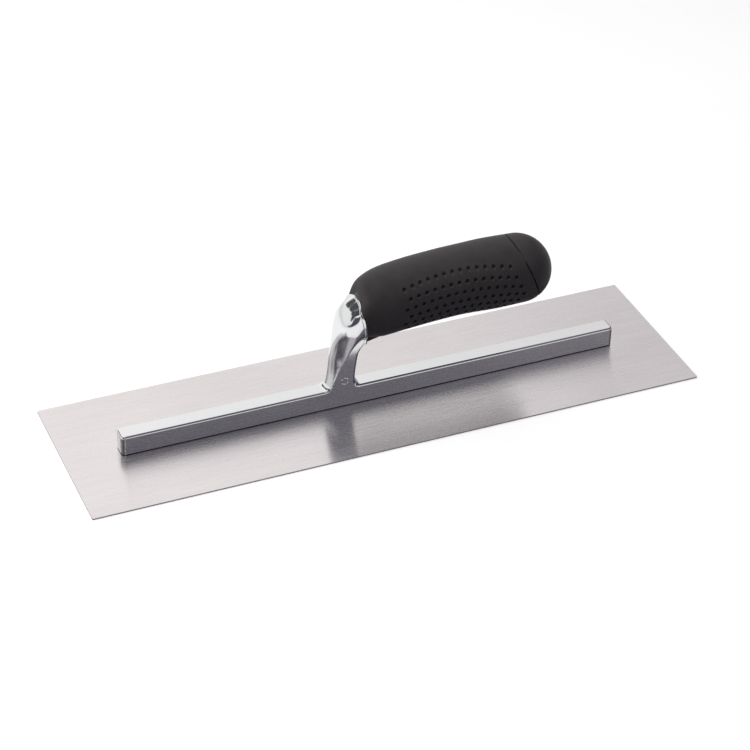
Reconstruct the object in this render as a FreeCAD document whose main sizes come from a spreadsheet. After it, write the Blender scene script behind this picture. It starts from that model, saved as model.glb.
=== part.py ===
import FreeCAD, Part
import math
import os

import Sketcher
from FreeCAD import Placement, Rotation, Vector

# Steel finishing trowel, 14 x 4 inch. Millimetres, +Z up.
# Origin: centre of the blade's sole. +X runs along the blade to its heel, which is the
# end that the handle's free end points at. The trowel is symmetric about the XZ plane.

doc = FreeCAD.newDocument("finishing_trowel")
sheet = doc.addObject("Spreadsheet::Sheet", "dims")

# ---------------------------------------------------------------- driving dimensions

DIMENSIONS = {
    # blade: one sheet of spring steel
    "blade_length": 355.6,
    "blade_width": 101.6,
    "blade_thickness": 0.7,
    "blade_corner": 0.8,
    # bar of the mounting, which stiffens the blade along its middle
    "bar_length": 294.0,
    "bar_width": 10.5,
    "bar_height": 11.8,
    "bar_end_radius": 2.5,
    "bar_edge_radius": 1.2,
    # rivets between blade and bar, flush with the sole
    "rivet_count": 8,
    "rivet_pitch": 38.0,
    "rivet_head_radius": 3.0,
    "rivet_shank_radius": 2.0,
    "rivet_length": 9.5,
    "rivet_hole_depth": 10.0,
    "rivet_play": 0.05,
    # collar: the slanted end face of the post, which the handle butts against
    "collar_x": -9.8,
    "collar_z": 52.8,
    "collar_lean": 15.0,
    "collar_half_height": 13.8,
    "collar_half_width": 12.0,
    "collar_egg": 0.25,
    # tang: the tongue that goes on from the collar into the handle, along the bolt's axis
    "tang_length": 38.0,
    "tang_to_recess": 38.0,
    "tang_width": 11.0,
    "tang_height": 12.0,
    "tang_edge_radius": 2.0,
    "tang_play": 0.2,
    # handle bolt, M6, with a socket head; its axis rises towards the heel
    "bolt_tilt": 6.0,
    "bolt_radius": 3.0,
    "bolt_length": 60.0,
    "bolt_thread_play": 0.05,
    "bolt_bore_radius": 3.4,
    "bolt_head_radius": 5.0,
    "bolt_head_height": 6.0,
    "bolt_socket_flats": 5.0,
    "bolt_socket_depth": 3.0,
    "tapped_hole_depth": 22.0,
    # plain washer and split lock washer under the bolt's head
    "washer_radius": 6.0,
    "washer_bore_radius": 3.2,
    "washer_thickness": 1.6,
    "lock_washer_radius": 5.5,
    "lock_washer_gap": 1.2,
    # recess in the handle's heel end, for the bolt's head and the cap's plug
    "recess_floor_x": 64.0,
    "recess_floor_z": 62.0,
    "recess_radius": 8.0,
    "recess_length": 40.0,
    "plug_radius": 7.8,
    "plug_gap": 1.2,
    "plug_length": 20.0,
    # soft grip: wall over the core, and the dome at its heel end
    "sleeve_wall": 4.0,
    "grip_end_step": 0.3,
    "dome_start_x": 85.0,
    "dome_length": 19.2,
    # slanted plane where the end cap meets the grip
    "cap_plane_x": 88.0,
    "cap_plane_z": 64.0,
    "cap_plane_lean": 21.0,
}

# Stations of the handle behind the collar: centre x and z, the lean of the section plane
# from upright, half height, half width, and how much wider the top is than the bottom.
GRIP_STATIONS = [
    (-5.0, 57.3, 17.0, 16.9, 14.4, 0.10),
    (0.0, 59.6, 18.0, 18.3, 16.9, 0.03),
    (6.0, 61.3, 17.0, 18.8, 18.4, 0.0),
    (14.0, 62.7, 13.0, 18.8, 19.4, 0.0),
    (28.0, 64.1, 7.0, 18.7, 19.9, 0.0),
    (48.0, 64.9, 1.0, 18.85, 20.1, 0.0),
    (68.0, 64.7, 0.0, 19.4, 20.4, 0.0),
    (85.0, 64.4, 0.0, 19.1, 20.1, 0.0),
]
STATION_COLUMNS = ("x", "z", "lean", "high", "wide", "egg")

# Stations of the post from the bar up: heel point and toe point in the XZ plane, how far
# from heel to toe the edge between flank and toe face lies, half width of the web there,
# and the half width and place of the widest point of the toe face. One more station, at
# the collar, ends the post.
POST_STATIONS = [
    (-11.0, 12.2, -29.0, 12.2, 0.88, 5.25, 5.27, 0.885),
    (-13.0, 14.4, -27.9, 15.0, 0.86, 5.25, 5.27, 0.865),
    (-12.9, 19.0, -27.2, 21.0, 0.75, 5.25, 5.4, 0.83),
    (-12.2, 26.0, -26.3, 32.0, 0.52, 5.25, 6.3, 0.74),
    (-11.2, 32.0, -24.2, 44.0, 0.34, 5.25, 8.2, 0.70),
    (-9.7, 36.4, -20.6, 55.5, 0.22, 5.25, 10.4, 0.70),
]
POST_COLUMNS = ("heel_x", "heel_z", "toe_x", "toe_z", "edge", "web", "wide", "widest")
COLLAR_EDGE = 0.11
COLLAR_WEB = 5.25
COLLAR_WIDEST = 0.72

# Points on each half of a post section: from the edge to the widest point, and on to the toe.
SHOULDER_STEPS = 4
CROWN_STEPS = 5
# Points around each section of the handle.
SECTION_POINTS = 16
# Angles of the dome's sections, from its start (0) to its tip (90).
DOME_TURNS = (18, 36, 52, 66, 78, 86)
# How far a cutting tool runs past the face it starts from.
OVERSHOOT = "1"
# Side of the block that holds everything behind the cap plane.
HEEL_BLOCK = 80
# A cut that points away from its solid removes nothing; a real one removes more than this.
LEAST_CUT = 10.0


def fill_sheet():
    """Write every driving dimension to the sheet, one aliased cell each."""
    row = 1
    cells = dict(DIMENSIONS)
    for prefix, columns, stations in (
        ("grip", STATION_COLUMNS, GRIP_STATIONS),
        ("post", POST_COLUMNS, POST_STATIONS),
    ):
        for number, values in enumerate(stations):
            for column, value in zip(columns, values):
                cells[f"{prefix}{number}_{column}"] = value
    for alias, value in cells.items():
        sheet.set(f"A{row}", alias)
        sheet.set(f"B{row}", str(value))
        sheet.setAlias(f"B{row}", alias)
        row += 1
    doc.recompute()


def size(alias):
    """The value of one aliased cell of the sheet."""
    return float(sheet.get(alias))


def bind(feature, **expressions):
    """Bind properties to the sheet; names in an expression are aliases after 'dims.'."""
    for name, expression in expressions.items():
        feature.setExpression(name, expression)


def add(kind, name, **expressions):
    """A new document object with its sizes bound to the sheet."""
    feature = doc.addObject(kind, name)
    bind(feature, **expressions)
    return feature


def place(feature, x="0", y="0", z="0", axis=Vector(0, 0, 1), angle="0"):
    """Bind a feature's place to the sheet."""
    feature.Placement = Placement(Vector(), Rotation(axis, 1e-3))
    feature.setExpression("Placement.Base.x", x)
    feature.setExpression("Placement.Base.y", y)
    feature.setExpression("Placement.Base.z", z)
    feature.setExpression("Placement.Rotation.Angle", angle)


def cut(label, base, tool):
    feature = doc.addObject("Part::Cut", label)
    feature.Base = base
    feature.Tool = tool
    return feature


def fuse(label, *shapes):
    feature = doc.addObject("Part::MultiFuse", label)
    feature.Shapes = list(shapes)
    return feature


# ---------------------------------------------------------------- sketch helpers

def origin_plane(body, role):
    return next(item for item in body.Origin.OriginFeatures if item.Role == role)


def sketch_on(body, name, role="XY_Plane", lift="0"):
    """A sketch on one of the body's own origin planes, lifted along its normal."""
    sketch = body.newObject("Sketcher::SketchObject", name)
    sketch.AttachmentSupport = [(origin_plane(body, role), "")]
    sketch.MapMode = "FlatFace"
    sketch.setExpression("AttachmentOffset.Base.z", lift)
    return sketch


def centred_rectangle(sketch, length, width):
    """A rectangle about the sketch's origin; length and width are expressions."""
    corners = [Vector(-1, -1, 0), Vector(1, -1, 0), Vector(1, 1, 0), Vector(-1, 1, 0)]
    for start, end in zip(corners, corners[1:] + corners[:1]):
        sketch.addGeometry(Part.LineSegment(start, end), False)
    for side in range(4):
        sketch.addConstraint(Sketcher.Constraint("Coincident", side, 2, (side + 1) % 4, 1))
    for side in (0, 2):
        sketch.addConstraint(Sketcher.Constraint("Horizontal", side))
        sketch.addConstraint(Sketcher.Constraint("Vertical", side + 1))
    sketch.addConstraint(Sketcher.Constraint("Symmetric", 0, 1, 1, 2, -1, 1))
    along = sketch.addConstraint(Sketcher.Constraint("DistanceX", 0, 1, 0, 2, 2.0))
    across = sketch.addConstraint(Sketcher.Constraint("DistanceY", 1, 1, 1, 2, 2.0))
    sketch.setExpression(f"Constraints[{along}]", length)
    sketch.setExpression(f"Constraints[{across}]", width)


def circle(sketch, radius):
    """A circle about the sketch's origin; radius is an expression."""
    sketch.addGeometry(Part.Circle(Vector(), Vector(0, 0, 1), 1.0), False)
    sketch.addConstraint(Sketcher.Constraint("Coincident", 0, 3, -1, 1))
    index = sketch.addConstraint(Sketcher.Constraint("Radius", 0, 1.0))
    sketch.setExpression(f"Constraints[{index}]", radius)


def hexagon(sketch, flats):
    """A regular hexagon about the sketch's origin; flats is the width across flats."""
    points = [Vector(math.cos(turn), math.sin(turn), 0)
              for turn in (math.radians(60 * side) for side in range(6))]
    for start, end in zip(points, points[1:] + points[:1]):
        sketch.addGeometry(Part.LineSegment(start, end), False)
    sketch.addGeometry(Part.Circle(Vector(), Vector(0, 0, 1), 1.0), True)
    sketch.addConstraint(Sketcher.Constraint("Coincident", 6, 3, -1, 1))
    for side in range(6):
        sketch.addConstraint(Sketcher.Constraint("Coincident", side, 2, (side + 1) % 6, 1))
        sketch.addConstraint(Sketcher.Constraint("PointOnObject", side, 1, 6))
    for side in range(5):
        sketch.addConstraint(Sketcher.Constraint("Equal", side, side + 1))
    sketch.addConstraint(Sketcher.Constraint("PointOnObject", 0, 1, -1))
    radius = sketch.addConstraint(Sketcher.Constraint("Radius", 6, 1.0))
    sketch.setExpression(f"Constraints[{radius}]", f"{flats} / sqrt(3)")


def pad(body, sketch, length, name):
    feature = body.newObject("PartDesign::Pad", name)
    feature.Profile = sketch
    feature.setExpression("Length", length)
    return feature


def upright_edges(shape):
    """Names of the straight edges that run along Z."""
    names = []
    for number, edge in enumerate(shape.Edges, start=1):
        box = edge.BoundBox
        if box.ZLength > 1e-3 and box.XLength < 1e-6 and box.YLength < 1e-6:
            names.append(f"Edge{number}")
    return names


def edges_at_height(shape, height):
    """Names of the edges that lie wholly at one height."""
    return [f"Edge{number}" for number, edge in enumerate(shape.Edges, start=1)
            if abs(edge.BoundBox.ZMin - height) < 1e-4 and abs(edge.BoundBox.ZMax - height) < 1e-4]


def round_edges(body, base, names, radius, label):
    feature = body.newObject("PartDesign::Fillet", label)
    feature.Base = (base, names)
    feature.setExpression("Radius", radius)
    return feature


# ---------------------------------------------------------------- the bolt's axis

def axis_point(along, up="0"):
    """Expressions for x and z of a point on the bolt's axis, 'along' from the recess floor."""
    tilt = "dims.bolt_tilt"
    x = f"dims.recess_floor_x + ({along}) * cos({tilt}) - ({up}) * sin({tilt})"
    z = f"dims.recess_floor_z + ({along}) * sin({tilt}) + ({up}) * cos({tilt})"
    return x, z


def turn_on_axis(feature, along):
    """Place a feature with its own Z axis along the bolt's axis, towards the heel."""
    x, z = axis_point(along)
    place(feature, x=x, z=z, axis=Vector(0, 1, 0), angle="90 - dims.bolt_tilt")


def rod_on_axis(name, start, end, radius):
    """A cylinder on the bolt's axis from start to end; all are expressions."""
    rod = add("Part::Cylinder", name, Radius=radius, Height=f"({end}) - ({start})")
    turn_on_axis(rod, start)
    return rod


def box_on_axis(box, along, half_width, up):
    """Place a box with its own X axis along the bolt's axis."""
    x, z = axis_point(along, up)
    place(box, x=x, y=f"-({half_width})", z=z, axis=Vector(0, -1, 0), angle="dims.bolt_tilt")


# ---------------------------------------------------------------- section helpers

def closed_spline(points):
    """A smooth closed curve through points, with the same knots for every section."""
    spline = Part.BSplineCurve()
    knots = [index / len(points) for index in range(len(points) + 1)]
    spline.interpolate(Points=points, PeriodicFlag=True, Parameters=knots)
    return spline.toShape()


def oval_wire(x, z, lean, high, wide, egg):
    """An oval in an upright plane that leans by 'lean' degrees towards the toe.

    It is an ellipse where egg is 0, and wider at the top than at the bottom above 0.
    """
    tilt = math.radians(lean)
    points = []
    for index in range(SECTION_POINTS):
        turn = 2 * math.pi * index / SECTION_POINTS - math.pi / 2
        up = high * math.sin(turn)
        side = wide * math.cos(turn) * (1 + egg * math.sin(turn))
        points.append(Vector(x - up * math.sin(tilt), side, z + up * math.cos(tilt)))
    return Part.Wire([closed_spline(points)])


def section_object(name, wire):
    feature = doc.addObject("Part::Feature", name)
    feature.Shape = wire
    return feature


def loft(name, sections):
    feature = doc.addObject("Part::Loft", name)
    feature.Sections = sections
    feature.Solid = True
    feature.Ruled = False
    return feature


def handle_stations(inset):
    """Stations of the handle's skin, moved in by 'inset', from the collar to the dome."""
    step = size("grip_end_step") - inset
    rows = [(size("collar_x"), size("collar_z"), size("collar_lean"),
             size("collar_half_height") + step, size("collar_half_width") + step,
             size("collar_egg"))]
    for number in range(len(GRIP_STATIONS)):
        x, z, lean, high, wide, egg = (size(f"grip{number}_{column}") for column in STATION_COLUMNS)
        rows.append((x, z, lean, high - inset, wide - inset, egg))
    return rows


def handle_skin(name, inset):
    """The handle's form moved in by 'inset': a loft through its stations and its dome."""
    rows = handle_stations(inset)
    start, length = size("dome_start_x"), size("dome_length") - inset
    x, z, lean, high, wide, egg = rows[-1]
    for degrees in DOME_TURNS:
        turn = math.radians(degrees)
        shrink = math.cos(turn)
        rows.append((start + length * math.sin(turn), z, lean, high * shrink, wide * shrink, egg))
    sections = [section_object(f"{name}_section_{number}", oval_wire(*row))
                for number, row in enumerate(rows)]
    return loft(name, sections)


# ---------------------------------------------------------------- blade and rivets

def make_blade():
    """Flat sheet of spring steel with sharp edges and countersunk rivet holes."""
    body = doc.addObject("PartDesign::Body", "blade")
    outline = sketch_on(body, "blade_outline")
    centred_rectangle(outline, "dims.blade_length", "dims.blade_width")
    sheet_metal = pad(body, outline, "dims.blade_thickness", "blade_sheet")
    doc.recompute()
    corners = round_edges(body, sheet_metal, upright_edges(sheet_metal.Shape),
                          "dims.blade_corner", "blade_corners")
    doc.recompute()
    before = corners.Shape.Volume
    hole = body.newObject("PartDesign::SubtractiveCone", "blade_rivet_hole")
    hole.AttachmentSupport = [(origin_plane(body, "XY_Plane"), "")]
    hole.MapMode = "FlatFace"
    hole.setExpression("AttachmentOffset.Base.x", "-dims.rivet_pitch * (dims.rivet_count - 1) / 2")
    bind(hole, Radius1="dims.rivet_head_radius + dims.rivet_play",
         Radius2="dims.rivet_head_radius - dims.blade_thickness + dims.rivet_play",
         Height="dims.blade_thickness")
    row_of_holes = body.newObject("PartDesign::LinearPattern", "blade_rivet_holes")
    row_of_holes.Originals = [hole]
    row_of_holes.Direction = (origin_plane(body, "X_Axis"), [""])
    bind(row_of_holes, Length="dims.rivet_pitch * (dims.rivet_count - 1)",
         Occurrences="dims.rivet_count")
    body.Tip = row_of_holes
    doc.recompute()
    assert before - body.Shape.Volume > LEAST_CUT * size("rivet_count"), "a rivet hole is missing"
    return body


def rivet_place(number):
    return f"dims.rivet_pitch * ({number} - (dims.rivet_count - 1) / 2)"


def make_rivets():
    """Countersunk rivets, driven from the sole into blind holes of the bar."""
    rivets = []
    for number in range(int(size("rivet_count"))):
        head = add("Part::Cone", f"rivet_head_{number}",
                   Radius1="dims.rivet_head_radius",
                   Radius2="dims.rivet_head_radius - dims.blade_thickness",
                   Height="dims.blade_thickness")
        shank = add("Part::Cylinder", f"rivet_shank_{number}",
                    Radius="dims.rivet_shank_radius", Height="dims.rivet_length")
        rivet = fuse(f"rivet_{number}", head, shank)
        place(rivet, x=rivet_place(number))
        rivets.append(rivet)
    group = doc.addObject("Part::Compound", "blade_rivets")
    group.Links = rivets
    return group


# ---------------------------------------------------------------- mounting

def make_bar():
    """The bar: a long block with rounded ends and eased top edges."""
    body = doc.addObject("PartDesign::Body", "mounting_bar")
    outline = sketch_on(body, "bar_outline", lift="dims.blade_thickness")
    centred_rectangle(outline, "dims.bar_length", "dims.bar_width")
    block = pad(body, outline, "dims.bar_height", "bar_block")
    doc.recompute()
    ends = round_edges(body, block, upright_edges(block.Shape), "dims.bar_end_radius", "bar_ends")
    doc.recompute()
    top = size("blade_thickness") + size("bar_height")
    round_edges(body, ends, edges_at_height(ends.Shape, top), "dims.bar_edge_radius", "bar_edges")
    doc.recompute()
    return body


def post_rows():
    """The post's stations from the sheet, and the one at the collar."""
    rows = [tuple(size(f"post{number}_{column}") for column in POST_COLUMNS)
            for number in range(len(POST_STATIONS))]
    lean = math.radians(size("collar_lean"))
    step_x = size("collar_half_height") * math.sin(lean)
    step_z = size("collar_half_height") * math.cos(lean)
    x, z = size("collar_x"), size("collar_z")
    rows.append((x + step_x, z - step_z, x - step_x, z + step_z, COLLAR_EDGE, COLLAR_WEB,
                 size("collar_half_width"), COLLAR_WIDEST))
    return rows


def post_section(heel_x, heel_z, toe_x, toe_z, edge, web, wide, widest):
    """One section of the post: flat flanks at the heel side, a crowned toe face.

    The section lies in the plane through its heel and toe points, square to XZ.
    """
    heel = Vector(heel_x, 0, heel_z)
    across = Vector(toe_x, 0, toe_z) - heel

    def point(part, side):
        return heel + across * part + Vector(0, side, 0)

    last_turn = math.acos(web / wide)
    reach = (widest - edge) / math.sin(last_turn)
    half = []
    for step in range(SHOULDER_STEPS, 0, -1):
        turn = last_turn * step / SHOULDER_STEPS
        half.append((widest - reach * math.sin(turn), wide * math.cos(turn)))
    for step in range(CROWN_STEPS):
        turn = math.pi / 2 * step / CROWN_STEPS
        half.append((widest + (1 - widest) * math.sin(turn), wide * math.cos(turn)))
    toe_face = [point(part, -side) for part, side in half] + [point(1.0, 0)]
    toe_face += [point(part, side) for part, side in reversed(half)]
    spline = Part.BSplineCurve()
    knots = [index / (len(toe_face) - 1) for index in range(len(toe_face))]
    spline.interpolate(Points=toe_face, Parameters=knots)
    heel_near = point(0.0, -web)
    heel_far = point(0.0, web)
    edges = [
        Part.makeLine(heel_near, toe_face[0]),
        spline.toShape(),
        Part.makeLine(toe_face[-1], heel_far),
        Part.makeLine(heel_far, heel_near),
    ]
    return Part.Wire(edges)


def make_tang():
    """The tongue inside the handle, with rounded long edges."""
    tongue = add("Part::Box", "tang_block", Length="dims.tang_length",
                 Width="dims.tang_width", Height="dims.tang_height")
    box_on_axis(tongue, "-dims.tang_to_recess - dims.tang_length",
                "dims.tang_width / 2", "-dims.tang_height / 2")
    doc.recompute()
    rounded = doc.addObject("Part::Fillet", "tang")
    rounded.Base = tongue
    radius = size("tang_edge_radius")
    long_edges = [number for number, edge in enumerate(tongue.Shape.Edges, start=1)
                  if abs(edge.Length - size("tang_length")) < 1e-6]
    rounded.Edges = [(number, radius, radius) for number in long_edges]
    return rounded


def make_mounting():
    """One aluminium casting: bar, post, collar and tang, drilled for rivets and bolt."""
    sections = [section_object(f"post_section_{number}", post_section(*row))
                for number, row in enumerate(post_rows())]
    post = loft("mounting_post", sections)
    casting = fuse("mounting_casting", make_bar(), post, make_tang())
    holes = []
    for number in range(int(size("rivet_count"))):
        hole = add("Part::Cylinder", f"bar_hole_{number}",
                   Radius="dims.rivet_shank_radius + dims.rivet_play",
                   Height="dims.rivet_hole_depth")
        place(hole, x=rivet_place(number))
        holes.append(hole)
    tapped = rod_on_axis("tapped_hole", "-dims.tang_to_recess - dims.tapped_hole_depth",
                         f"-dims.tang_to_recess + {OVERSHOOT}",
                         "dims.bolt_radius + dims.bolt_thread_play")
    holes.append(tapped)
    return cut("mounting", casting, fuse("mounting_holes", *holes))


# ---------------------------------------------------------------- handle

def heel_side():
    """A block that fills everything on the heel side of the slanted cap plane."""
    side, half, lean = f"{HEEL_BLOCK}", HEEL_BLOCK / 2, "dims.cap_plane_lean"
    block = add("Part::Box", "heel_side", Length=side, Width=side, Height=side)
    place(block, x=f"dims.cap_plane_x + {half} * sin({lean})", y=f"-{half}",
          z=f"dims.cap_plane_z - {half} * cos({lean})", axis=Vector(0, -1, 0), angle=lean)
    return block


def make_core(core_skin, behind):
    """Rigid core: socket for the tang, bore for the bolt, recess for its head."""
    body = cut("core_body", core_skin, behind)
    play = "dims.tang_play"
    socket = add("Part::Box", "tang_socket", Length=f"dims.tang_length + {play}",
                 Width=f"dims.tang_width + 2 * {play}", Height=f"dims.tang_height + 2 * {play}")
    box_on_axis(socket, "-dims.tang_to_recess - dims.tang_length",
                f"dims.tang_width / 2 + {play}", f"-dims.tang_height / 2 - {play}")
    bore = rod_on_axis("bolt_bore", "-dims.tang_to_recess", OVERSHOOT, "dims.bolt_bore_radius")
    recess = rod_on_axis("bolt_recess", "0", "dims.recess_length", "dims.recess_radius")
    return cut("handle_core", body, fuse("core_holes", socket, bore, recess))


def make_sleeve(grip_skin, core_skin, behind):
    """Soft sleeve moulded over the core, from the collar to the cap plane."""
    return cut("grip_sleeve", cut("sleeve_body", grip_skin, behind), core_skin)


def make_cap(grip_skin, behind):
    """Soft end cap: the dome behind the slanted plane, with a plug into the recess."""
    dome = doc.addObject("Part::Common", "cap_dome")
    dome.Base = grip_skin
    dome.Tool = behind
    start = f"{HEAD_FACE} + dims.bolt_head_height + dims.plug_gap"
    plug = rod_on_axis("cap_plug", start, f"{start} + dims.plug_length", "dims.plug_radius")
    return fuse("end_cap", dome, plug)


# ---------------------------------------------------------------- bolt and washers

# Places along the bolt's axis, from the recess floor.
WASHER_FACE = "dims.washer_thickness"
HEAD_FACE = "2 * dims.washer_thickness"


def turned_body(name, along):
    """A body whose own Z axis is the bolt's axis, from 'along' towards the heel."""
    body = doc.addObject("PartDesign::Body", name)
    turn_on_axis(body, along)
    return body


def make_bolt():
    """Socket-head bolt: shank forward into the tang, head in the recess."""
    body = turned_body("handle_bolt", HEAD_FACE)
    head = sketch_on(body, "bolt_head_outline")
    circle(head, "dims.bolt_head_radius")
    pad(body, head, "dims.bolt_head_height", "bolt_head")
    shank = sketch_on(body, "bolt_shank_outline")
    circle(shank, "dims.bolt_radius")
    rod = pad(body, shank, "dims.bolt_length", "bolt_shank")
    rod.Reversed = True
    doc.recompute()
    before = body.Shape.Volume
    socket = sketch_on(body, "bolt_socket_outline", lift="dims.bolt_head_height")
    hexagon(socket, "dims.bolt_socket_flats")
    pocket = body.newObject("PartDesign::Pocket", "bolt_socket")
    pocket.Profile = socket
    pocket.setExpression("Length", "dims.bolt_socket_depth")
    doc.recompute()
    assert before - body.Shape.Volume > LEAST_CUT, "the hexagon socket cut nothing"
    return body


def make_washer():
    """Plain washer on the floor of the recess."""
    body = turned_body("plain_washer", "0")
    ring = sketch_on(body, "washer_outline")
    circle(ring, "dims.washer_radius")
    pad(body, ring, "dims.washer_thickness", "washer_disc")
    hole = sketch_on(body, "washer_hole")
    circle(hole, "dims.washer_bore_radius")
    bore = body.newObject("PartDesign::Pocket", "washer_bore")
    bore.Profile = hole
    bore.Type = "ThroughAll"
    bore.Midplane = True
    doc.recompute()
    return body


def make_lock_washer():
    """Split spring washer between the plain washer and the bolt's head."""
    ring = rod_on_axis("lock_washer_disc", WASHER_FACE, HEAD_FACE, "dims.lock_washer_radius")
    hole = rod_on_axis("lock_washer_hole", WASHER_FACE, HEAD_FACE, "dims.washer_bore_radius")
    split = add("Part::Box", "lock_washer_split", Length="dims.washer_thickness",
                Width="dims.lock_washer_gap", Height="2 * dims.lock_washer_radius")
    box_on_axis(split, WASHER_FACE, "dims.lock_washer_gap / 2", "0")
    return cut("lock_washer", ring, fuse("lock_washer_space", hole, split))


# ---------------------------------------------------------------- build, check, write

def check(part):
    """Stop if a sub-part is empty, broken, or not made of closed solids."""
    shape = part.Shape
    assert not shape.isNull(), part.Label + " is empty"
    assert shape.isValid(), part.Label + " is not valid"
    assert shape.Solids, part.Label + " has no solid"
    box = shape.optimalBoundingBox()
    print(f"{part.Label:14s} solids {len(shape.Solids)} volume {shape.Volume:10.1f}"
          f"  x {box.XMin:7.1f} {box.XMax:7.1f}  y {box.YMin:6.1f} {box.YMax:6.1f}"
          f"  z {box.ZMin:6.2f} {box.ZMax:6.2f}")


def main():
    fill_sheet()
    grip_skin = handle_skin("grip_skin", 0.0)
    core_skin = handle_skin("core_skin", size("sleeve_wall"))
    behind = heel_side()
    parts = [
        make_blade(),
        make_rivets(),
        make_mounting(),
        make_core(core_skin, behind),
        make_sleeve(grip_skin, core_skin, behind),
        make_cap(grip_skin, behind),
        make_bolt(),
        make_washer(),
        make_lock_washer(),
    ]
    doc.recompute()
    for item in doc.Objects:
        assert not {"Invalid", "Error"} & set(item.State), f"{item.Name} failed: {item.State}"
    for part in parts:
        check(part)
    os.makedirs("parts", exist_ok=True)
    for part in parts:
        part.Shape.exportStep(f"parts/{part.Label}.step")


main()
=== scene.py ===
import math

import bmesh
import bpy
import numpy as np
from mathutils import Matrix, Vector


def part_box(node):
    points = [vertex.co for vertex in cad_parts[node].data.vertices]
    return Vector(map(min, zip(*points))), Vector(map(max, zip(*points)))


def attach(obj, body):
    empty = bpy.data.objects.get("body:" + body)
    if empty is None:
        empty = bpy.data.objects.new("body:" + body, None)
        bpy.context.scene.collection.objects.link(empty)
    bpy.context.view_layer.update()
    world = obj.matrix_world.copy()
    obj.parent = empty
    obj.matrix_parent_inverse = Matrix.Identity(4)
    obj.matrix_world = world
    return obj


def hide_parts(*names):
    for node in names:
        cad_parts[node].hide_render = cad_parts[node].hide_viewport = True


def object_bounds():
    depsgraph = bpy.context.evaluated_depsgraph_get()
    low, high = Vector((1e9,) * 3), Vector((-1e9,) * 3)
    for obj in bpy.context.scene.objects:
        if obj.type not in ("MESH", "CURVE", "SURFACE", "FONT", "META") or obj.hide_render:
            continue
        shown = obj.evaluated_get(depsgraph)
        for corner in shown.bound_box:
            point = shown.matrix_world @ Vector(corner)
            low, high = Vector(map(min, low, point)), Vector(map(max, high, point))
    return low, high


# Looks of the steel finishing trowel. Shapes are worked out in millimetres, in the frame of
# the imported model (+X towards the heel, +Z up, origin in the middle of the sole), and become
# metres when a mesh is made. Near means the side towards -Y; both sides are alike, apart from
# the small ring that the casting has on its near side.

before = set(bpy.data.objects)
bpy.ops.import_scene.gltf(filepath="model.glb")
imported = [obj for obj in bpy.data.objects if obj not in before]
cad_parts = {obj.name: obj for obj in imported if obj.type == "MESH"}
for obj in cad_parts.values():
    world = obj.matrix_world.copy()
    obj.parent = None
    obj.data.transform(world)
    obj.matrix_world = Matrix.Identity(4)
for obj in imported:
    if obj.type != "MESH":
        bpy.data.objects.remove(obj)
cad_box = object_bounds()

MM = 0.001
MERGE, SLIVER = 0.002 * MM, 0.0005 * MM        # points closer than this become one


def node_box(name):
    """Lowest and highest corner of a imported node, in millimetres."""
    low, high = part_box(name)
    return np.array(low) / MM, np.array(high) / MM


# ---------------------------------------------------------------- curves and meshes

def smooth_curve(knots, rows):
    """Natural cubic spline through rows, one per knot, as a function of one number."""
    knots, rows = np.array(knots, float), np.array(rows, float)
    count, gaps = len(knots), np.diff(knots)
    system, right = np.zeros((count, count)), np.zeros_like(rows)
    system[0, 0] = system[-1, -1] = 1.0
    for i in range(1, count - 1):
        system[i, i - 1:i + 2] = gaps[i - 1], 2 * (gaps[i - 1] + gaps[i]), gaps[i]
        right[i] = 6 * ((rows[i + 1] - rows[i]) / gaps[i] - (rows[i] - rows[i - 1]) / gaps[i - 1])
    bends = np.linalg.solve(system, right)

    def at(knot):
        i = int(np.clip(np.searchsorted(knots, knot) - 1, 0, count - 2))
        a = (knots[i + 1] - knot) / gaps[i]
        b = 1 - a
        curve = (a ** 3 - a) * bends[i] + (b ** 3 - b) * bends[i + 1]
        return a * rows[i] + b * rows[i + 1] + curve * gaps[i] ** 2 / 6

    return at


def chord_knots(points):
    """Knots for points in a row: the distance covered so far."""
    steps = np.linalg.norm(np.diff(np.array(points, float), axis=0), axis=1)
    return np.concatenate([[0.0], np.cumsum(steps)])


def ease(value):
    """0 below 0, 1 above 1, and a smooth step between."""
    value = np.clip(value, 0.0, 1.0)
    return value * value * (3 - 2 * value)


def within(value, span):
    """Smooth step from 0 to 1 over a span given as (start, length)."""
    start, length = span
    return ease((value - start) / length)


def quarter_turns(points):
    """Even angles from 0 to a quarter turn."""
    return [math.pi / 2 * step / (points - 1) for step in range(points)]


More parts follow.
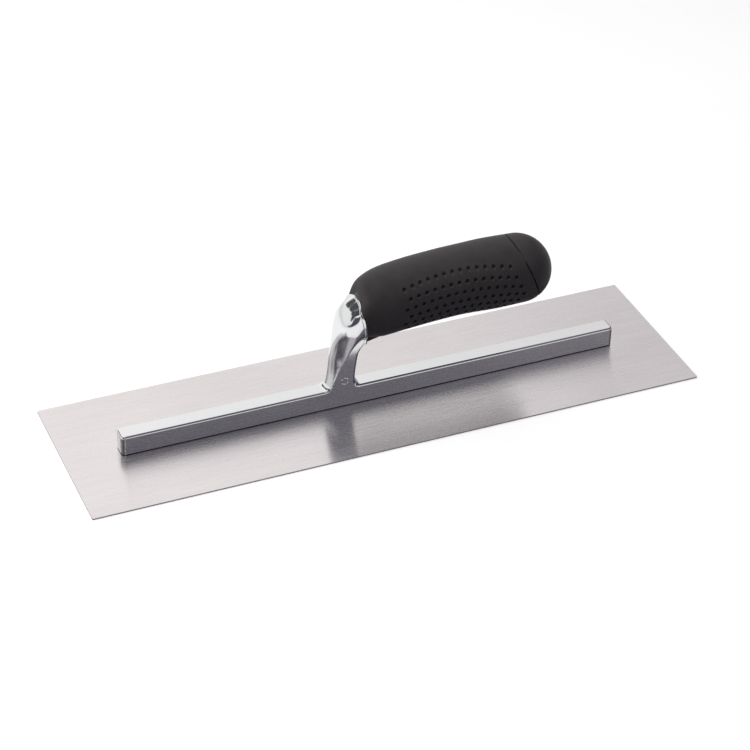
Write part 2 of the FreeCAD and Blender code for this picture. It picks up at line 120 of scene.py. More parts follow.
class Shell:
    """Points and faces of one piece, gathered in millimetres."""

    def __init__(self):
        self.points = []
        self.faces = []
        self.slots = []

    def row(self, points):
        start = len(self.points)
        self.points.extend(tuple(float(value) for value in point) for point in points)
        return list(range(start, len(self.points)))

    def face(self, corners, slot=0):
        self.faces.append(tuple(corners))
        self.slots.append(slot)

    def strip(self, first, second, slot=0, closed=False):
        """Faces between two rows with the same number of points."""
        count = len(first)
        for i in range(count if closed else count - 1):
            j = (i + 1) % count
            self.face((first[i], first[j], second[j], second[i]), slot)

    def loft(self, rows, slot=0, closed=False):
        rows = [self.row(points) for points in rows]
        for first, second in zip(rows, rows[1:]):
            self.strip(first, second, slot, closed)
        return rows

    def mirror(self):
        """Add the same faces again, mirrored in y = 0."""
        offset = len(self.points)
        self.points += [(x, -y, z) for x, y, z in self.points]
        self.faces += [tuple(i + offset for i in reversed(face)) for face in self.faces]
        self.slots += self.slots

    def make(self, name, materials, crease_degrees):
        """The object, with coinciding points merged and edges sharper than the angle kept."""
        mesh = bpy.data.meshes.new(name)
        mesh.from_pydata([tuple(c * MM for c in point) for point in self.points], [], self.faces)
        for material in materials:
            mesh.materials.append(material)
        mesh.polygons.foreach_set("material_index", self.slots)
        work = bmesh.new()
        work.from_mesh(mesh)
        bmesh.ops.remove_doubles(work, verts=work.verts, dist=MERGE)
        bmesh.ops.dissolve_degenerate(work, edges=work.edges, dist=SLIVER)
        bmesh.ops.recalc_face_normals(work, faces=work.faces)
        work.to_mesh(mesh)
        work.free()
        mesh.shade_smooth()
        mesh.set_sharp_from_angle(angle=math.radians(crease_degrees))
        piece = bpy.data.objects.new(name, mesh)
        bpy.context.scene.collection.objects.link(piece)
        return piece


# ---------------------------------------------------------------- mounting

BAR_END = node_box("mounting")[1][0]
BLADE_TOP = node_box("blade")[1][2]
WEB = 5.25                # half width of the bar and of the post's web
BAR_TOP = 12.5
BAR_EDGE = 1.3            # radius of the bar's top edges
BAR_CORNER = 2.5          # radius of the bar's upright corners
FOOT_GAP, FOOT_CHAMFER = 0.5, 1.0      # small undercut where the bar meets the blade
JOINT_SHADE_SLOT = 1                 # the undercut's material, among the casting's: a dark painted shade in the joint
FOOT_X, FOOT_RADIUS = -31.2, 3.3       # toe side: where the bar's top starts to rise
HEEL_FOOT_X, HEEL_FOOT_RADIUS = -9.0, 3.0
HEEL_EDGE = 2.8           # radius of the post's edges on the heel side
HEEL_EDGE_TOP, HEEL_EDGE_SPAN = 0.3, (0.0, 9.0)   # share of it at the rim, growing downwards
BEND, BEND_SPAN = 2.4, (61.5, 5.0)     # how far the head's top bends back, and from what z
RIM_BAND = 1.8            # length of the rounded band around the post's head
RIM_LIP = 0.6             # how far the band stands out
RIM_TUCK = 0.8            # how far the band ends inside the head's edge
RIM_LEAN = math.radians(15.0)

# Toe side of the post, from its foot up: centre line x and z, ridge x and z (the ridge is
# where the crowned toe face leaves the flat web), how far from ridge to centre line the
# widest point lies, and the half width there. The last one lies in the head's rim.
TOE_STATIONS = [
    (-27.9, 15.8, -25.7, 15.4, 0.03, 5.26),
    (-27.2, 21.0, -23.6, 20.5, 0.05, 5.35),
    (-26.3, 32.0, -19.5, 29.1, 0.10, 6.00),
    (-24.2, 44.0, -15.2, 36.8, 0.20, 7.70),
    (-20.6, 55.2, -11.4, 41.2, 0.42, 10.40),
    (-13.6, 66.0, -7.8, 42.2, 0.66, 11.60),
]
# Heel side of the post, from the rim down.
HEEL_STATIONS = [(-7.4, 39.2), (-9.2, 36.0), (-10.4, 31.5), (-11.2, 26.0), (-11.9, 19.0),
                 (-12.0, 15.5)]

RIM_AXIS = np.array([math.cos(RIM_LEAN), 0.0, math.sin(RIM_LEAN)])

# A crowned section closes over its centre line as (1 - share ** fullness) ** power. Fullness
# grows towards the rim, and halfway up the post both change by their blunt amounts. The spans
# are start and length, in the fifth value of TOE_STATIONS.
FULLNESS, FULLNESS_GROWTH, BLUNT_FULLNESS = 1.35, 0.65, 2.1
POWER, BLUNT_POWER = 0.54, -0.16
GROWTH_SPAN, BLUNT_RISE, BLUNT_FALL = (0.2, 0.4), (0.1, 0.25), (0.45, 0.2)
LEAST_SHARE, LEAST_FLARE = 0.02, 0.01  # smallest share and flare of a crowned section

# Points of a section: heel side's edge, flare beside the ridge, half a toe section, bar's edge.
EDGE_POINTS, FLARE_POINTS, HALF_POINTS, BAR_ARC = 7, 9, 26, 12
TOE_ROWS, HEEL_ROWS = 64, 36
TOE_FILLET_STEPS, HEEL_FILLET_STEPS, CORNER_STEPS = 12, 10, 8

MARK_X, MARK_Z, MARK_RADIUS = -18.6, 17.2, 2.0
MARK_BEAD, MARK_PROUD = 0.3, 0.1       # radius of the ring's round section, and its height
MARK_SECTIONS, MARK_CORNERS = 41, 8

CASTING_CREASE, RUBBER_CREASE = 32, 50  # degrees; edges sharper than this stay sharp


def bend_rim(point):
    """The head's top bends back towards the handle."""
    x, y, z = point
    return (x + BEND * within(z, BEND_SPAN), y, z)


def crown_profile(widest, wide):
    """Half a section of the toe face: (share of the way from ridge to centre, half width).

    It flares from the web's width to 'wide' at the share 'widest' and then closes over the
    centre line. Halfway up the post it closes more bluntly.
    """
    last = math.acos(min(WEB / wide, 1.0))
    reach = widest / math.sin(last)
    half = []
    for step in range(FLARE_POINTS):
        turn = last * (1 - step / (FLARE_POINTS - 1))
        half.append((widest - reach * math.sin(turn), wide * math.cos(turn)))
    blunt = within(widest, BLUNT_RISE) * (1 - within(widest, BLUNT_FALL))
    fullness = FULLNESS + FULLNESS_GROWTH * within(widest, GROWTH_SPAN) + BLUNT_FULLNESS * blunt
    power = POWER + BLUNT_POWER * blunt
    crown = HALF_POINTS - FLARE_POINTS
    for step in range(1, crown + 1):
        share = math.sin(math.pi / 2 * step / crown)
        half.append((widest + (1 - widest) * share, wide * max(1 - share ** fullness, 0.0) ** power))
    return half


def bar_profile():
    """Half a section of the bar's top, a rounded edge and a flat, with the crown's points."""
    half = []
    for turn in quarter_turns(BAR_ARC):
        half.append((math.sin(turn), WEB - BAR_EDGE * (1 - math.cos(turn))))
    flat = HALF_POINTS - BAR_ARC
    for step in range(1, flat + 1):
        half.append((1.0, (WEB - BAR_EDGE) * (1 - step / flat)))
    return half


def toe_section(centre, ridge, half):
    """A whole section from the near ridge over the centre line to the far ridge."""
    centre, ridge = np.array(centre), np.array(ridge)
    near = []
    for share, wide in half:
        x, z = ridge + (centre - ridge) * share
        near.append((x, -wide, z))
    far = [(x, -y, z) for x, y, z in reversed(near[:-1])]
    return [bend_rim(point) for point in near + far]


def toe_rows():
    """Sections along the toe side: the bar, the foot's fillet, the post up to the rim."""
    bar = bar_profile()
    rows = [toe_section((x, BAR_TOP), (x, BAR_TOP - BAR_EDGE), bar)
            for x in (-BAR_END + BAR_CORNER, FOOT_X)]
    knots = chord_knots([row[:2] for row in TOE_STATIONS])
    station = smooth_curve(knots, TOE_STATIONS)
    first = station(0.0)
    post = crown_profile(first[4], first[5])
    pivot = np.array([FOOT_X, BAR_TOP + FOOT_RADIUS])
    ridge_end = math.hypot(*(first[2:4] - pivot))
    for step in range(1, TOE_FILLET_STEPS):
        share = step / TOE_FILLET_STEPS
        turn = math.pi / 2 * share
        outward = np.array([math.sin(turn), -math.cos(turn)])
        reach = (FOOT_RADIUS + BAR_EDGE) * (1 - share) + ridge_end * share
        mix = ease(share)
        half = [(a * (1 - mix) + c * mix, b * (1 - mix) + d * mix)
                for (a, b), (c, d) in zip(bar, post)]
        rows.append(toe_section(pivot + outward * FOOT_RADIUS, pivot + outward * reach, half))
    for knot in np.linspace(0.0, knots[-1], TOE_ROWS):
        x, z, ridge_x, ridge_z, widest, wide = station(knot)
        profile = crown_profile(max(widest, LEAST_SHARE), max(wide, WEB + LEAST_FLARE))
        rows.append(toe_section((x, z), (ridge_x, ridge_z), profile))
    return rows


def heel_section(point, inward, radius):
    """A section of the heel side: rounded edge, flat, rounded edge."""
    near = []
    for turn in quarter_turns(EDGE_POINTS):
        depth = radius * (1 - math.sin(turn))
        x, z = np.array(point) + np.array(inward) * depth
        near.append((x, -(WEB - radius * (1 - math.cos(turn))), z))
    near.append((point[0], 0.0, point[1]))
    far = [(x, -y, z) for x, y, z in reversed(near[:-1])]
    return near + far


def heel_rows():
    """Sections along the heel side: the post from the rim down, the fillet, the bar."""
    knots = chord_knots(HEEL_STATIONS)
    line = smooth_curve(knots, HEEL_STATIONS)
    rows = []
    nudge = 0.1
    for knot in np.linspace(0.0, knots[-1], HEEL_ROWS):
        ahead = line(min(knot + nudge, knots[-1])) - line(max(knot - nudge, 0.0))
        ahead /= np.linalg.norm(ahead)
        grown = HEEL_EDGE_TOP + (1 - HEEL_EDGE_TOP) * within(knot, HEEL_EDGE_SPAN)
        rows.append(heel_section(line(knot), (ahead[1], -ahead[0]), HEEL_EDGE * grown))
    pivot = np.array([HEEL_FOOT_X, BAR_TOP + HEEL_FOOT_RADIUS])
    for step in range(1, HEEL_FILLET_STEPS):
        share = step / HEEL_FILLET_STEPS
        turn = math.pi / 2 * share
        outward = np.array([-math.cos(turn), -math.sin(turn)])
        radius = HEEL_EDGE * (1 - share) + BAR_EDGE * share
        rows.append(heel_section(pivot + outward * HEEL_FOOT_RADIUS, outward, radius))
    for x in (HEEL_FOOT_X, BAR_END - BAR_CORNER):
        rows.append(heel_section((x, BAR_TOP), (0.0, -1.0), BAR_EDGE))
    return rows


def end_outline(inset):
    """Plan of the bar's toe end, from near side to far side, moved in by 'inset'."""
    corner_x, corner_y = -BAR_END + BAR_CORNER, WEB - BAR_CORNER
    radius = BAR_CORNER - inset
    near = []
    for turn in quarter_turns(CORNER_STEPS + 1):
        near.append((corner_x - radius * math.sin(turn), -corner_y - radius * math.cos(turn)))
    return near + [(x, -y) for x, y in reversed(near)]


def bar_end(shell, arc_turns, flat, side):
    """One end of the bar: upright wall, rounded edge, and the top inside it.

    'flat' is the row across the bar's top that the end joins, and 'side' is 1 at the toe and
    -1 at the heel.
    """
    def ring(inset, z):
        return [(x * side, y, z) for x, y in end_outline(inset)]

    rings = [ring(FOOT_CHAMFER, BLADE_TOP), ring(0.0, BLADE_TOP + FOOT_GAP)]
    for turn in arc_turns:
        inset, drop = BAR_EDGE * (1 - math.cos(turn)), BAR_EDGE * (1 - math.sin(turn))
        rings.append(ring(inset, BAR_TOP - drop))
    # The undercut's faces carry the joint's painted shade.
    shell.loft(rings[:2], slot=JOINT_SHADE_SLOT)
    rows = shell.loft(rings[1:])
    cap = shell.row([(x, y, z) for x, y, z in reversed(flat)])
    shell.face(rows[-1] + cap)


def rim_rings(loop):
    """Rings that turn the head's edge into a rounded band and close it behind."""
    loop = np.array(loop)
    ahead = np.roll(loop, -1, axis=0) - np.roll(loop, 1, axis=0)
    outward = np.cross(ahead, RIM_AXIS)
    outward /= np.linalg.norm(outward, axis=1)[:, None]
    if np.sum((loop - loop.mean(axis=0)) * outward) < 0:
        outward = -outward
    profile = [(0.0, 0.0)]
    for degrees in range(20, 180, 20):
        turn = math.radians(degrees)
        profile.append((RIM_LIP * math.sin(turn), RIM_BAND * (1 - math.cos(turn)) / 2))
    profile.append((-RIM_TUCK, RIM_BAND))
    return [loop + outward * out + RIM_AXIS * along for out, along in profile]


def ejector_mark(shell):
    """A thin raised ring on the near flank, left by the casting's ejector pin."""
    rings = []
    for turn in np.linspace(0, 2 * math.pi, MARK_SECTIONS):
        ring = []
        for roll in np.linspace(0, 2 * math.pi, MARK_CORNERS, endpoint=False):
            reach = MARK_RADIUS + MARK_BEAD * math.cos(roll)
            y = -WEB - MARK_PROUD + MARK_BEAD * (1 - math.sin(roll))
            ring.append((MARK_X + reach * math.cos(turn), y, MARK_Z + reach * math.sin(turn)))
        rings.append(ring)
    shell.loft(rings, closed=True)


def bar_flank(shell, edge_ids, side):
    """One flat flank of bar and post, below the given edges, and the undercut under it."""
    straight = BAR_END - BAR_CORNER
    foot = BLADE_TOP + FOOT_GAP
    inner = (WEB - FOOT_CHAMFER) * side
    foot_ids = shell.row([(straight, WEB * side, foot), (-straight, WEB * side, foot)])
    shell.face(edge_ids + foot_ids)
    base_ids = shell.row([(-straight, inner, BLADE_TOP), (straight, inner, BLADE_TOP)])
    # The undercut under the flank carries the joint's painted shade.
    shell.face(foot_ids + base_ids, slot=JOINT_SHADE_SLOT)


def make_mounting(materials):
    """Bar and post as one casting with rounded edges, fillets and a rounded rim."""
    shell = Shell()
    toe, heel = toe_rows(), heel_rows()
    toe_ids, heel_ids = shell.loft(toe), shell.loft(heel)
    for end, side in ((0, -1), (-1, 1)):
        bar_flank(shell, [ids[end] for ids in toe_ids] + [ids[end] for ids in heel_ids], side)
    toe_flat = toe[0][BAR_ARC - 1:1 - BAR_ARC]
    heel_flat = heel[-1][EDGE_POINTS - 1:1 - EDGE_POINTS]
    bar_end(shell, quarter_turns(BAR_ARC), toe_flat, 1)
    bar_end(shell, quarter_turns(EDGE_POINTS), heel_flat, -1)
    outline = end_outline(FOOT_CHAMFER)
    base = outline + [(-x, y) for x, y in reversed(outline)]
    shell.face(shell.row([(x, y, BLADE_TOP) for x, y in base]))
    rim_ids = shell.loft(rim_rings(toe[-1] + heel[0][::-1]), closed=True)
    shell.face(rim_ids[-1])
    ejector_mark(shell)
    piece = shell.make("mounting_casting", materials, CASTING_CREASE)
    even = piece.modifiers.new("even_normals", "WEIGHTED_NORMAL")
    even.keep_sharp = True
    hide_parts("mounting")
    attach(piece, "root")


# ---------------------------------------------------------------- grip

# Stations of the grip: x, then centre z, lean of the section, half height, half width.
GRIP_STATIONS = [
    (-9.8, 52.8, 15.0, 13.9, 12.2),
    (-5.0, 58.0, 17.0, 17.7, 15.0),
    (0.0, 59.6, 18.0, 18.2, 17.0),
    (6.0, 61.4, 17.0, 18.9, 18.4),
    (14.0, 62.7, 13.0, 18.8, 19.4),
    (28.0, 64.05, 7.0, 18.7, 19.9),
    (48.0, 64.95, 1.0, 18.8, 20.1),
    (68.0, 64.7, 0.0, 19.5, 20.5),
    (85.0, 64.4, 0.0, 19.1, 20.2),
]
DOME_START, DOME_LENGTH = 85.0, 19.2
DOME_REACH = DOME_LENGTH * math.pi / 2
CAP_X, CAP_Z, CAP_LEAN = 88.0, 64.0, math.radians(21.0)     # the parting plane
SOLVE_FROM = 60.0         # 'along' well before the parting plane
WALL = 4.0                # the sleeve's thickness

DIMPLE_PITCH, DIMPLE_ROW_GAP = 4.765, 4.91
DIMPLE_TOP_Z, DIMPLE_MIDDLE_X, DIMPLE_BOW = 79.4, 46.0, 0.0035
DIMPLE_RADIUS, DIMPLE_DEPTH = 1.15, 1.25
# Offset in half pitches and number of dimples, row by row from the top.
DIMPLE_ROWS = [(0, 14), (1, 14), (0, 15), (1, 15), (0, 15), (1, 14), (0, 14)]
DIMPLE_FIRST_X = 11.35
# A dimple's rings from its cell inwards: radius as a share of the dimple's, and depth as a
# share of the way down to its floor.
DIMPLE_PROFILE = [(1.3, 0.0), (1.09, 0.0), (1.0, 0.1), (0.96, 0.3), (0.93, 0.85), (0.8, 1.0),
                  (0.45, 1.08)]
DIMPLE_LEAST = 0.35       # least depth, where the skin falls away
CELL = 6                  # grid lines across one dimple's cell

_, RIM_CENTRE_Z, _, RIM_HIGH, RIM_WIDE = GRIP_STATIONS[0]
START_SIZE, START_BACK = 0.97, 1.1     # the sleeve starts inside the rim's outline and behind it
FIELD_COLUMNS = 94        # grid columns over the length of the dimpled field
LINES_ABOVE, LINES_BELOW = 9, 7        # grid lines above and below the field
CREST_LENGTH = 0.945      # the field's columns draw together along the crest
LEAD_STEPS, LEAD_SPEED = 20, 1.8       # rings from the rim to the field
TAIL_STEPS, TAIL_GAP = 8, 0.8          # rings from the field to the groove
INNER_STEPS, INNER_GAP, INNER_END = 12, 0.25, 0.02     # rings of the inner wall, and its ends
# Edge beside the parting groove: distance from the parting plane, and depth under the skin.
GROOVE_EDGE = [(0.85, 0.0), (0.58, 0.06), (0.4, 0.25), (0.34, 0.6), (0.34, 1.2)]
CAP_POINTS, CAP_RINGS = 57, 30         # the cap's points around and rings along


def slopes(x, y):
    """Slopes that keep a curve through (x, y) free of overshoot (Fritsch and Carlson)."""
    gaps, rises = np.diff(x), np.diff(y) / np.diff(x)
    result = np.zeros(len(x))
    result[0], result[-1] = rises[0], rises[-1]
    for i in range(1, len(x) - 1):
        if rises[i - 1] * rises[i] > 0:
            before, after = 2 * gaps[i] + gaps[i - 1], gaps[i] + 2 * gaps[i - 1]
            result[i] = (before + after) / (before / rises[i - 1] + after / rises[i])
    return result


def fine_table(stations, step=0.25, spread=10):
    """Stations resampled at even steps and evened out, so that no station shows as a bend."""
    rows = np.array(stations)
    x = rows[:, 0]
    fine_x = np.arange(x[0], x[-1] + step / 2, step)
    columns = []
    for column in rows[:, 1:].T:
        slope = slopes(x, column)
        i = np.clip(np.searchsorted(x, fine_x, side="right") - 1, 0, len(x) - 2)
        width = x[i + 1] - x[i]
        t = (fine_x - x[i]) / width
        values = ((1 + 2 * t) * (1 - t) ** 2 * column[i] + t * (1 - t) ** 2 * width * slope[i]
                  + t * t * (3 - 2 * t) * column[i + 1] + t * t * (t - 1) * width * slope[i + 1])
        for _ in range(2):
            head = 2 * values[0] - values[spread:0:-1]
            tail = 2 * values[-1] - values[-2:-spread - 2:-1]
            padded = np.concatenate([head, values, tail])
            values = np.convolve(padded, np.ones(2 * spread + 1) / (2 * spread + 1), "valid")
        columns.append(values)
    return fine_x, columns


GRIP_X, GRIP_COLUMNS = fine_table(GRIP_STATIONS)


def grip_point(along, turn, inset=0.0):
    """Points of the grip's skin.

    'along' is x of the section's centre up to the dome, and runs on round the dome to its
    tip; 'turn' is the angle around the section, pi / 2 at the top and pi at the near side.
    """
    along, turn = np.broadcast_arrays(np.asarray(along, float), np.asarray(turn, float))
    z, lean, high, wide = (np.interp(along, GRIP_X, column) for column in GRIP_COLUMNS)
    over = np.clip((along - DOME_START) / DOME_REACH, 0.0, 1.0) * math.pi / 2
    x = np.minimum(along, DOME_START) + (DOME_LENGTH - inset) * np.sin(over)
    up = (high - inset) * np.cos(over) * np.sin(turn)
    side = (wide - inset) * np.cos(over) * np.cos(turn)
    lean = np.radians(lean)
    return np.stack([x - up * np.sin(lean), side, z + up * np.cos(lean)], axis=-1)


def solve_along(turn, target, low, high):
    """'along' at which target(point) changes sign, by halving."""
    low, high = np.full(np.shape(turn), float(low)), np.full(np.shape(turn), float(high))
    for _ in range(40):
        middle = (low + high) / 2
        beyond = target(grip_point(middle, turn)) > 0
        low, high = np.where(beyond, low, middle), np.where(beyond, middle, high)
    return (low + high) / 2


def along_at_cap(turn):
    """'along' where the skin meets the slanted parting plane."""
    def beyond(point):
        ahead, up = point[..., 0] - CAP_X, point[..., 2] - CAP_Z
        return ahead * math.cos(CAP_LEAN) + up * math.sin(CAP_LEAN)

    return solve_along(turn, beyond, SOLVE_FROM, DOME_START + DOME_REACH)


def along_at_x(turn, x):
    """'along' where the skin has a given x."""
    return solve_along(turn, lambda point: point[..., 0] - x, GRIP_X[0], DOME_START + DOME_REACH)


def find_on_side(x, z):
    """(along, turn) of the skin's near-side points that a side view shows at x and z."""
    x, z = np.broadcast_arrays(np.asarray(x, float), np.asarray(z, float))
    along, turn = x.copy(), np.full(x.shape, math.pi)
    nudge, longest_step, widest_turn = 1e-4, 4, 0.3
    for _ in range(30):
        here = grip_point(along, turn)
        by_along = (grip_point(along + nudge, turn) - here) / nudge
        by_turn = (grip_point(along, turn + nudge) - here) / nudge
        miss_x, miss_z = x - here[..., 0], z - here[..., 2]
        scale = by_along[..., 0] * by_turn[..., 2] - by_along[..., 2] * by_turn[..., 0]
        step_along = (miss_x * by_turn[..., 2] - miss_z * by_turn[..., 0]) / scale
        step_turn = (by_along[..., 0] * miss_z - by_along[..., 2] * miss_x) / scale
        along = along + np.clip(step_along, -longest_step, longest_step)
        turn = turn + np.clip(step_turn, -widest_turn, widest_turn)
        turn = np.clip(turn, 0.52 * math.pi, 1.48 * math.pi)
    return along, turn


def dimple_row_z(row, x):
    """Height of a row of dimples; rows bow down towards both ends."""
    return DIMPLE_TOP_Z - DIMPLE_ROW_GAP * row - DIMPLE_BOW * (x - DIMPLE_MIDDLE_X) ** 2


def rim_start(turn):
    """Where the sleeve starts: on the mounting's rim, behind the head's edge."""
    near = list(reversed(heel_rows()[0][:EDGE_POINTS + 1])) + toe_rows()[-1][:HALF_POINTS]
    x, y, z = np.array(near).T
    angles = 1.5 * math.pi - np.arctan2(-y / RIM_WIDE, (RIM_CENTRE_Z - z) / RIM_HIGH)
    half, x, z = (np.interp(turn, angles[::-1], values[::-1]) for values in (-y, x, z))
    tucked = RIM_CENTRE_Z + (z - RIM_CENTRE_Z) * START_SIZE
    return np.stack([x, -half * START_SIZE, tucked], axis=-1) + RIM_AXIS * START_BACK


def sleeve_grid():
    """(along, turn) of the sleeve's near half: one row per grid line across the section."""
    first_x = DIMPLE_FIRST_X - DIMPLE_PITCH * 0.5
    x = first_x + np.arange(FIELD_COLUMNS) * DIMPLE_PITCH / CELL
    band = []
    for line in range(len(DIMPLE_ROWS) * CELL + 1):
        z = dimple_row_z(line / CELL - 0.5, x)
        band.append(find_on_side(x, z))
    top_turn, bottom_turn = band[0][1], band[-1][1]
    crest_x = first_x + (x - first_x) * CREST_LENGTH
    lines = []
    for step in range(LINES_ABOVE):
        share = step / LINES_ABOVE
        turn = math.pi / 2 + (top_turn - math.pi / 2) * share
        target = crest_x + (x - crest_x) * ease(share)
        lines.append((along_at_x(turn, target), turn))
    lines.extend(band)
    for step in range(1, LINES_BELOW + 1):
        turn = bottom_turn + (1.5 * math.pi - bottom_turn) * step / LINES_BELOW
        lines.append((along_at_x(turn, x), turn))
    return np.array(lines)


def dimple(shell, boundary, row, x):
    """One dimple: a blind round hole that runs level into the grip's side."""
    z = dimple_row_z(row, x)
    count = len(boundary)
    angles = np.array([math.atan2(shell.points[i][2] - z, shell.points[i][0] - x) for i in boundary])
    floor = abs(grip_point(*find_on_side(x, z))[1]) - DIMPLE_DEPTH
    previous = boundary
    for radius, depth in DIMPLE_PROFILE:
        ring_x = x + DIMPLE_RADIUS * radius * np.cos(angles)
        ring_z = z + DIMPLE_RADIUS * radius * np.sin(angles)
        skin = grip_point(*find_on_side(ring_x, ring_z))
        outer = np.abs(skin[:, 1])
        deep = np.minimum(floor, outer - DIMPLE_LEAST)
        y = outer - (outer - deep) * depth if depth else outer
        ring = shell.row(np.stack([skin[:, 0], -y, skin[:, 2]], axis=-1))
        shell.strip(previous, ring, closed=True)
        previous = ring
    middle = shell.row([np.mean([shell.points[i] for i in previous], axis=0)])[0]
    for i in range(count):
        shell.face((previous[i], previous[(i + 1) % count], middle))


def skin_rings(grid, start):
    """Half rings of the sleeve's skin, from the rim over the field to the groove."""
    along, turn = grid[:, 0], grid[:, 1]
    front, back = turn[:, 0], turn[:, -1]
    first = GRIP_X[0]
    pull = start - grip_point(first, front)
    rings = []
    for step in range(LEAD_STEPS):
        share = step / LEAD_STEPS
        here = first + (along[:, 0] - first) * share
        rings.append(grip_point(here, front) + pull * (1 - ease(share * LEAD_SPEED)))
    for column in range(FIELD_COLUMNS):
        rings.append(grip_point(along[:, column], turn[:, column]))
    parting = along_at_cap(back)
    for step in range(1, TAIL_STEPS):
        share = step / TAIL_STEPS
        here = along[:, -1] + (parting - TAIL_GAP - along[:, -1]) * share
        rings.append(grip_point(here, back))
    for gap, inset in GROOVE_EDGE + [(GROOVE_EDGE[-1][0], WALL)]:
        rings.append(grip_point(parting - gap, back, inset))
    return rings


def add_dimples(shell, ring_ids):
    """All dimples of the near side; the cells (ring, line) that they take up are returned."""
    taken = set()
    for row, (offset, count) in enumerate(DIMPLE_ROWS):
        top = LINES_ABOVE + row * CELL
        bottom = top + CELL
        for number in range(count):
            left = LEAD_STEPS + number * CELL + offset * CELL // 2
            right = left + CELL
            boundary = [ring_ids[left + i][top] for i in range(CELL)]
            boundary += [ring_ids[right][top + i] for i in range(CELL)]
            boundary += [ring_ids[right - i][bottom] for i in range(CELL)]
            boundary += [ring_ids[left][bottom - i] for i in range(CELL)]
            dimple(shell, boundary, row, DIMPLE_FIRST_X + DIMPLE_PITCH * (number + offset / 2))
            taken |= {(left + i, top + j) for i in range(CELL) for j in range(CELL)}
    return taken


def wall_rings(edge, turn, start):
    """Half rings of the sleeve's inner wall, from the groove's edge back to the rim."""
    length = along_at_cap(turn) - INNER_GAP - GRIP_X[0]
    shares = np.linspace(1, INNER_END, INNER_STEPS)[1:]
    wall = [grip_point(GRIP_X[0] + length * share, turn, WALL) for share in shares]
    return [edge] + wall + [start]


def make_sleeve(material):
    """Soft sleeve with its rows of dimples, open at the rim and at the parting plane."""
    shell = Shell()
    grid = sleeve_grid()
    front, back = grid[:, 1, 0], grid[:, 1, -1]
    start = rim_start(front)
    ring_ids = [shell.row(points) for points in skin_rings(grid, start)]
    taken = add_dimples(shell, ring_ids)
    for i, (ring, after) in enumerate(zip(ring_ids, ring_ids[1:])):
        for j in range(len(ring) - 1):
            if (i, j) not in taken:
                shell.face((ring[j], ring[j + 1], after[j + 1], after[j]))
    edge = [shell.points[i] for i in ring_ids[-1]]
    shell.loft(wall_rings(edge, back, start))
    shell.mirror()
    piece = shell.make("grip_sleeve_dimpled", [material], RUBBER_CREASE)
    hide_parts("grip_sleeve")
    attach(piece, "root")


def make_cap(material):
    """Rounded end cap behind the parting plane."""
    shell = Shell()
    turn = np.linspace(math.pi / 2, 1.5 * math.pi, CAP_POINTS)
    parting = along_at_cap(turn)
    tip = DOME_START + DOME_REACH
    rings = [grip_point(parting + gap, turn, inset) for gap, inset in reversed(GROOVE_EDGE)]
    for step in range(1, CAP_RINGS):
        share = step / CAP_RINGS
        rings.append(grip_point(parting + TAIL_GAP + (tip - parting - TAIL_GAP) * share, turn))
    rings.append(np.repeat([grip_point(tip, math.pi / 2)], len(turn), axis=0))
    ids = shell.loft(rings)
    centre = np.mean([shell.points[i] for i in ids[0]], axis=0)
    centre[1] = 0.0
    middle = shell.row([centre])[0]
    for first, second in zip(ids[0], ids[0][1:]):
        shell.face((first, second, middle))
    shell.mirror()
    piece = shell.make("end_cap_rounded", [material], RUBBER_CREASE)
    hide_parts("end_cap")
    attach(piece, "root")


# ---------------------------------------------------------------- materials

def mix_colours(nodes, links, factor, first, second):
    """Colour between two others, each a shade or a node's output."""
    node = nodes.new("ShaderNodeMix")
    node.data_type = "RGBA"
    links.new(factor, node.inputs[0])
    for socket, colour in ((6, first), (7, second)):
        if isinstance(colour, tuple):
            node.inputs[socket].default_value = (*colour, 1)
        else:
            links.new(colour, node.inputs[socket])
    return node.outputs[2]


